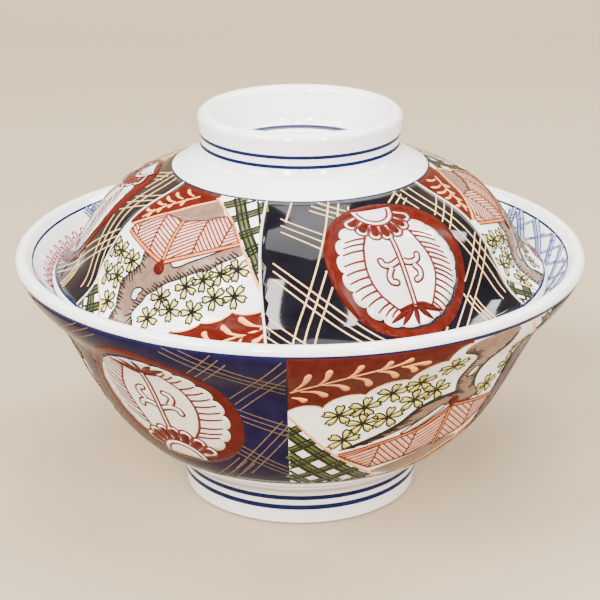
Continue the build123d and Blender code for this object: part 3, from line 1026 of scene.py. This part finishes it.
lid_picture = {
    "cloud": [(16, 14.9), (11, 10), (5, 7), (2.5, 6.3), (-0.5, 9.8), (-1.3, 11.3), (4, 14.2), (10, 15.6)],
    "branch": [(20.4, 49), (21.1, 44.8), (20.7, 42.4), (21.4, 40.5), (21.7, 37.7), (21.5, 35.6), (19, 33),
               (16.4, 29.9), (16.4, 27.7), (15.9, 25.6), (12, 26.5), (9.5, 27.6), (6, 26.5), (-4, 21.5),
               (-9, 19.4), (-11.5, 20.4), (-11.6, 22.5), (-7.4, 25.1), (-4.5, 27.5), (-1.3, 28.7),
               (2.6, 31), (6.1, 32.8), (8.8, 35.2), (11.3, 37), (12.3, 38.9), (13.9, 41.3), (14.2, 43),
               (12.8, 44.8), (12, 49)],
    "gaps": [[(6.6, 27.7), (6.2, 26.8), (-0.2, 24), (-6.4, 21), (-6.1, 21.8), (-2.2, 24.3), (1.4, 26.4),
              (3.5, 27.8), (5.5, 28.5)],
             [(16.1, 36.5), (14.2, 35.7), (13.2, 36.2), (14.2, 37.5), (14.6, 39), (16.2, 39.1),
              (16.5, 37.9)]],
    "bark": [([(12.2, 47), (12.8, 44.8), (14.2, 43), (13.9, 41.3), (12.3, 38.9), (11.3, 37), (8.8, 35.2),
               (6.1, 32.8), (2.6, 31), (-1.3, 28.7), (-4.5, 27.5), (-7.4, 25.1), (-11.6, 22.5)], 2.2, -0.6),
             ([(15.9, 25.6), (16.4, 27.7), (16.4, 29.9), (19, 33), (21.5, 35.6), (21.7, 37.7), (21.4, 40.5),
               (20.7, 42.4), (21.1, 44.8), (20.5, 47.5)], 2.6, 0.25)],
    "red_corners": [
        np.vstack([scallops([(-22.5, 35.1), (-13.5, 37), (-6.2, 40.7), (0.9, 44.4), (4.5, 47.8)], 0.12),
                   [(-36, 52), (-36, 35)]]),
        np.array([(25.6, 21.4), (15.1, 14.5), (9.2, 9.9), (3.9, 6.6), (2.8, 2), (40, 2), (40, 21)], float)],
    "sprays": [
        ([(-23.5, 39.4), (-20.6, 41.3), (-17.2, 42.9), (-14.3, 44.5), (-11, 46.8)], [
            ((-21.8, 40), (-15.5, 38.3), 0.08), ((-17.4, 42.7), (-11.7, 40.7), 0.1),
            ((-10.6, 45.2), (-7.8, 42.9), 0.08), ((-23.1, 41.3), (-20.9, 44.5), 0.1),
            ((-22.8, 38.6), (-21.1, 37), 0.05), ((-18, 43), (-16.6, 46.8), 0.1)], 1.5),
        ([(23.4, 18.6), (18.5, 13.4), (14, 9.6), (9.5, 6.4)], [
            ((16, 10.3), (16.9, 13), 0.05), ((18.6, 12.8), (19.3, 15.6), 0.05),
            ((20.9, 15), (21.8, 18), 0.05), ((13, 8.3), (13.6, 11), 0.05), ((14.2, 8.8), (18.3, 7.8), 0.1),
            ((18, 12.2), (22, 12.6), 0.1), ((16, 10.6), (20.4, 10), 0.1), ((21, 15.6), (24, 16), 0.1),
            ((11.4, 6.9), (15, 5.6), 0.1)], 1.15)],
    "wedge": [(2.8, 6.6), (0.2, 8.4), (-4.9, 13), (-9.9, 19.2), (-13.9, 24.2), (-17.2, 28.6), (-20.4, 32.8),
              (-22.5, 35.4), (-36, 35), (-36, 2), (3, 2)],
    "plaid": [[(0, 2), (-3.3, 6.5), (-9.3, 15.1), (-15.2, 22.7), (-20.2, 30.3), (-23, 34.6)],
              [(-6.6, 2), (-9.1, 5.9), (-14.4, 14.5), (-19.5, 22.5)], [(1, 7.6), (-6.5, 3)],
              [(-3, 12.4), (-12.5, 5.2)], [(-6.5, 18.7), (-16.5, 10.6)], [(-10.5, 23.7), (-19.5, 15.6)],
              [(-14.5, 27.7), (-22, 20.8)], [(-17.5, 31), (-24, 26)]],
    "far_wedge": [(34, 36.6), (32.7, 37.9), (29.3, 41.2), (26.4, 43.9), (24.3, 48), (50, 49), (50, 36)],
    "far_plaid": [[(27, 49), (37.7, 37)], [(32, 49.5), (42, 38.5)], [(37, 50), (46, 41)],
                  [(24, 42.5), (37, 50.5)], [(28.5, 39), (42, 48)], [(32.5, 36), (46, 46)]],
    "band": 2.2, "trim": 0.6,
    "gold_lines": [[(4.2, 5.6), (0.2, 8.4), (-4.9, 13), (-9.9, 19.2), (-13.9, 24.2), (-17.2, 28.6),
                    (-20.4, 32.8), (-22.5, 35.4)],
                   [(25.6, 21.4), (15.1, 14.5), (9.2, 9.9), (3.9, 6.6)],
                   [(34, 36.6), (32.7, 37.9), (29.3, 41.2), (26.4, 43.9), (24.3, 48)]],
    "fan": {
        "paper": [(25.2, 23), (24.3, 21.2), (15, 14.8), (11.9, 14.9), (8.7, 15.7), (5.1, 14.2), (1.9, 13.3),
                  (0.6, 12), (-2, 11), (-5, 13.2), (-9.7, 19.4), (9.4, 28)],
        "pleats": [([(25.2, 23), (24.3, 21.2), (22.3, 19.5), (21.2, 24.3)], -26, 1.0),
                   ([(21.2, 24.3), (22.3, 19.5), (15, 14.8), (14.8, 26.3)], 38, 1.0),
                   ([(14.8, 26.3), (15, 14.8), (11.9, 14.9), (8.7, 15.7), (9.4, 28)], -26, 1.1),
                   ([(9.4, 28), (8.7, 15.7), (5.1, 14.2), (1.9, 13.3), (1.5, 24.5)], 35, 1.0),
                   ([(1.5, 24.5), (1.9, 13.3), (0.6, 12), (-2, 11), (-5, 13.2), (-5.2, 21.5)], -47, 0.95),
                   ([(-5.2, 21.5), (-5, 13.2), (-9.7, 19.4)], 34, 1.0)],
        "ribs": [[(25.2, 23), (9.4, 28.2)], [(8.6, 15.4), (9.3, 28)], [(9.2, 28), (-9.9, 19.4)]],
        "rivet": ((9.7, 29.7), (9.3, 27.2)), "rivet_size": 1.6},
    "blossom": 3.2,
    "blossoms": [(8.9, 42.5, 96), (6.8, 36.7, 80), (3.3, 39.1, 100), (0.3, 32.6, 88), (-3.9, 30.1, 96),
                 (-8, 28, 84), (-11.9, 26.4, 92), (-8, 34.2, 90), (-13.1, 33.2, 98), (-3.1, 38.5, 86),
                 (29.4, 28.6, 90), (25.1, 29.1, 100), (19.8, 30.2, 84), (23.9, 35.2, 94), (29.1, 35.8, 88),
                 (24.6, 42.2, 96)],
}

lid_enamels = dict(
    bowl_enamels,
    navy=enamel_paint("black_navy_enamel", "#0c0a10", "#131118", 5.0, 0.06, 0.22),
    red=enamel_paint("deep_iron_red_ground", "#43100a", "#531a12", 3.0, 0.14, 0.03),
    lattice=enamel_paint("bright_gold_line", "#d3aa70", "#e2c08c", 1.5, 0.3, 0.2))
lid_art = Drawing(lid_drawn_rows, lid_wall_rows)
decorate(lid_art, lid_wall_line, lid_limits, lid_azimuths, lid_centres, lid_lattice, lid_gold_width,
         lid_disc, lid_picture, lid_line, lid_border_line)
fire(lid_art, "lid", "lid", lid_enamels, lid_outside, 0.0, -1)

# Stage. A sweep of pale matt paper, bent up behind the bowl, soft boxes and strips for lamps,
# and the camera where the photograph was taken from.

floor_half, sweep_half_width = 1.2, 2.0
sweep_back, sweep_top, sweep_round = 0.9, 1.4, 0.35
sweep = bpy.data.meshes.new("studio_sweep")
sweep_bend = circle((sweep_back - sweep_round, sweep_round), sweep_round, -90, 0, 13)
sweep_rows = [(-floor_half, 0.0), *sweep_bend, (sweep_back, sweep_top)]
sweep.from_pydata([(side * sweep_half_width, y, z) for y, z in sweep_rows for side in (-1, 1)], [],
                  ribbon(len(sweep_rows)))
for face in sweep.polygons:
    face.use_smooth = True
floor = placed("studio_sweep", sweep)
paper = bpy.data.materials.new("matt_paper")
paper.use_nodes = True
paper_shader = paper.node_tree.nodes["Principled BSDF"]
paper_shader.inputs["Base Color"].default_value = linear("#ab9a80")
paper_shader.inputs["Roughness"].default_value = 0.8
sweep.materials.append(paper)

bowl_middle = Vector((0, 0, 0.06))
for name, place, width, height, power, tint in (
        ("window_left", (-0.75, -0.55, 0.95), 0.55, 0.4, 27, "#fffaf2"),
        ("window_right", (0.9, -0.3, 0.7), 0.35, 0.5, 10, "#fffaf2"),
        ("overhead", (0.1, 0.1, 1.2), 0.8, 0.8, 17, "#ffffff"),
        ("front_strip_left", (-0.23, -0.85, 0.66), 0.13, 0.6, 20, "#fffaf2"),
        ("front_strip_right", (0.42, -0.8, 0.7), 0.08, 0.4, 10, "#fffaf2"),
        ("back_strip_right", (0.78, 0.38, 0.85), 0.14, 0.6, 8, "#ffffff"),
        ("back_strip_left", (-0.78, 0.38, 0.85), 0.14, 0.6, 6, "#ffffff")):
    lamp = bpy.data.lights.new(name, "AREA")
    lamp.shape = "RECTANGLE"
    lamp.size, lamp.size_y = width, height
    lamp.energy = power
    lamp.color = linear(tint)[:3]
    soft_box = placed(name, lamp)
    soft_box.location = place
    soft_box.rotation_euler = (bowl_middle - Vector(place)).to_track_quat("-Z", "Y").to_euler()
world = bpy.data.worlds.new("studio_air")
world.use_nodes = True
air = world.node_tree.nodes["Background"].inputs
air["Color"].default_value = linear("#e9edf2")
air["Strength"].default_value = 0.25
bpy.context.scene.world = world

camera_back, camera_up, camera_down = 0.4673, 0.2319, 20.94
camera_lens = bpy.data.cameras.new("camera")
camera_lens.lens = 108
camera_lens.sensor_width = 36
camera = placed("camera", camera_lens)
camera.location = (0, -camera_back, camera_up)
camera.rotation_euler = (math.radians(90 - camera_down), 0, 0)
bpy.context.scene.camera = camera

for helper in (bowl_profile, lid_profile, bowl_foot_side, bowl_outside, bowl_inside, lid_ring_side,
               lid_recess_floor, lid_outside):
    bpy.data.objects.remove(helper)
